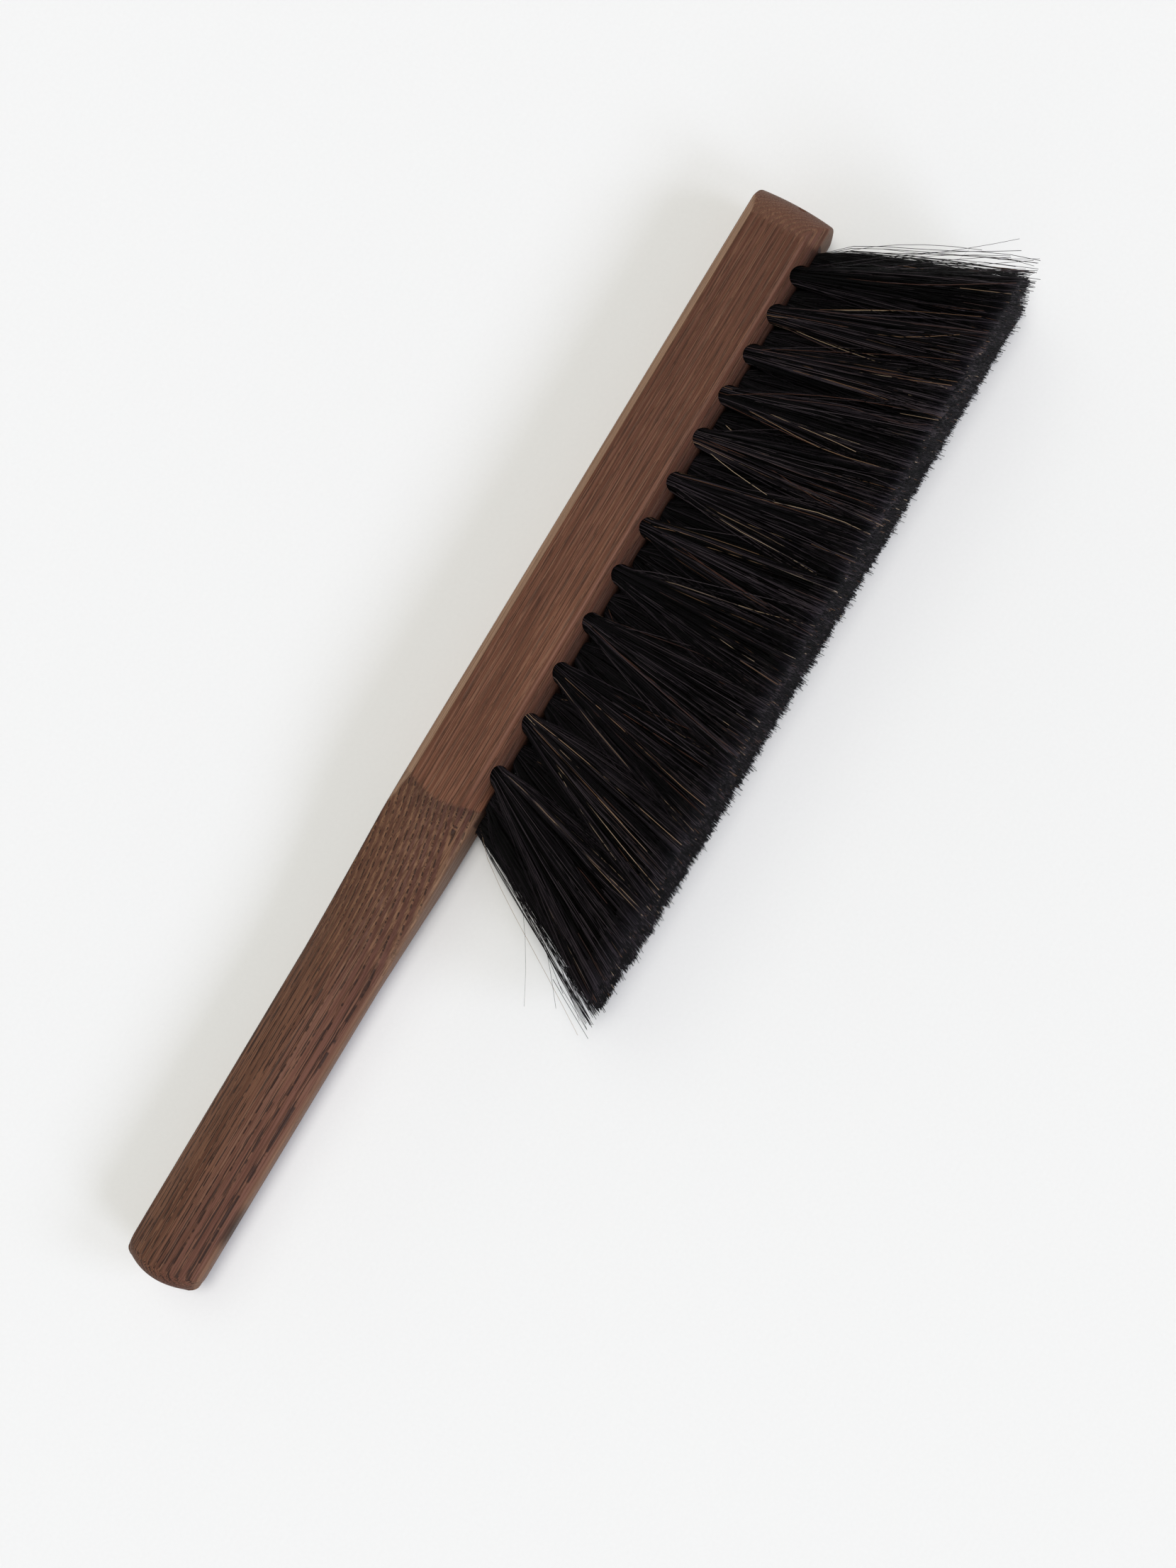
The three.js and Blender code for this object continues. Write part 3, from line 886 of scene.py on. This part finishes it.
def tuft_mesh(name, tuft):
    """A tuft's hairs round their packed middle, with a tint for each hair."""
    points, faces, tints = [], [], []
    groups = (
        hair_lines(tuft, HAIRS),
        end_lines(tuft, END_HAIRS),
        stray_lines(tuft, STRAYS[tuft.row]),
        long_strays(tuft),
    )
    for lines, tint in groups:
        made, around = strand_faces(lines, sum(len(p) for p in points))
        points.append(made)
        faces.extend(around)
        tints.append(np.repeat(tint, lines.shape[1] * 3))
    strands = sum(len(f) for f in faces)
    made, around = tube_faces(core_rings(tuft), sum(len(p) for p in points))
    tints.append(np.zeros(len(made)))
    mesh = mesh_from(name, np.concatenate([*points, made]), [*faces, *around])
    slots = (np.arange(len(mesh.polygons)) >= strands).astype(np.int32)
    mesh.polygons.foreach_set("material_index", slots)
    marks = mesh.attributes.new("tint", "FLOAT", "POINT")
    marks.data.foreach_set("value", np.concatenate(tints).astype(np.float32))
    mesh.transform(BRUSH)
    return mesh


def tuft_piece(tuft, hair, core):
    """One tuft of hair, in place of its CAD solid."""
    name = "hair_" + tuft.node[len("tuft_"):]
    piece = new_object(name, tuft_mesh(name, tuft))
    finish_piece(piece, (hair, core), "horsehair", tuft.node)


# The floor, the light and the camera

def floor():
    """A sheet so wide that its edge is never seen."""
    size = 60.0
    mesh = bpy.data.meshes.new("floor")
    corners = [(-size, -size, 0), (size, -size, 0), (size, size, 0), (-size, size, 0)]
    mesh.from_pydata(corners, [], [(0, 1, 2, 3)])
    made = new_object("floor", mesh)
    made.data.materials.append(floor_material())


def softbox(name, colour, share, turn, height, width):
    """A soft light far away, and its share of the light on the floor.

    Its turn from the x axis, its height and its width are angles in degrees.
    """
    data = bpy.data.lights.new(name, "SUN")
    data.angle = math.radians(width)
    data.energy = share * math.pi / math.sin(math.radians(height))
    data.color = colour
    made = new_object(name, data)
    turn = math.radians(turn)
    rise = math.radians(height)
    flat_way = math.cos(rise)
    away = Vector((math.cos(turn) * flat_way, math.sin(turn) * flat_way, math.sin(rise)))
    made.location = away * 2
    made.rotation_mode = "QUATERNION"
    made.rotation_quaternion = away.to_track_quat("Z", "Y")


WALL_FADE = {"From Min": 0.05, "From Max": 0.45, "To Min": 0.9, "To Max": 0.16}  # up the sky


def studio_walls():
    """Pale walls low down, and a dim ceiling that the softboxes hang from."""
    world = bpy.data.worlds.new("studio")
    world.use_nodes = True
    nodes, links = world.node_tree.nodes, world.node_tree.links
    direction = nodes.new("ShaderNodeTexCoord")
    split = nodes.new("ShaderNodeSeparateXYZ")
    darken = nodes.new("ShaderNodeMapRange")
    darken.interpolation_type = "SMOOTHSTEP"
    for name, value in WALL_FADE.items():
        darken.inputs[name].default_value = value
    links.new(direction.outputs["Generated"], split.inputs[0])
    links.new(split.outputs["Z"], darken.inputs["Value"])
    links.new(darken.outputs[0], nodes["Background"].inputs["Strength"])
    nodes["Background"].inputs["Color"].default_value = (1.0, 1.0, 1.0, 1.0)
    bpy.context.scene.world = world


def lights():
    """A big softbox overhead, cool windows on the hair's side and a weaker light behind."""
    studio_walls()
    warm, cool, green = (1.0, 0.98, 0.93), (0.81, 0.85, 1.0), (0.96, 1.0, 0.9)
    softbox("overhead", warm, share=0.51, turn=80, height=84, width=22)
    softbox("hair_side_left", cool, share=0.135, turn=-108, height=33, width=24)
    softbox("hair_side_right", cool, share=0.105, turn=-72, height=33, width=24)
    softbox("back_side", green, share=0.10, turn=70, height=60, width=40)
    bpy.context.scene.view_settings.view_transform = "Standard"


CAMERA_DISTANCE = 0.8
CAMERA_LENS = 62.03
CAMERA_SPIN = math.radians(59)  # the wood's direction above the picture's horizontal
CAMERA_TILT = (math.radians(2.17), math.radians(-1.46))
CAMERA_AIM = (-0.0016, -0.0044, 0.015)  # from the middle of the brush on the floor


def camera():
    """Straight above the brush, turned so that the handle's end is at the picture's lower left."""
    data = bpy.data.cameras.new("camera")
    data.lens = CAMERA_LENS
    made = new_object("camera", data)
    centre = Vector(((CAD_LOW.x + CAD_HIGH.x) / 2, (CAD_LOW.y + CAD_HIGH.y) / 2, 0))
    turn = Matrix.Rotation(-CAMERA_SPIN, 4, "Z")
    tilt = Matrix.Rotation(CAMERA_TILT[1], 4, "Y") @ Matrix.Rotation(CAMERA_TILT[0], 4, "X")
    away = Matrix.Translation((0, 0, CAMERA_DISTANCE))
    made.matrix_world = Matrix.Translation(centre + Vector(CAMERA_AIM)) @ turn @ tilt @ away
    bpy.context.scene.camera = made


def dress_cad_nodes():
    """The draw wires and plugs keep their CAD shape and get their own materials."""
    wire, plug = wire_material(), plug_material()
    for name, node in frame["nodes"].items():
        if name.startswith(("draw_wire", "end_plug")):
            node.data.materials.clear()
            node.data.materials.append(wire if name.startswith("draw_wire") else plug)


wood_piece(wood_material())
horsehair, packed_hair = hair_material(), core_material()
for one in TUFTS:
    tuft_piece(one, horsehair, packed_hair)
dress_cad_nodes()
floor()
lights()
camera()
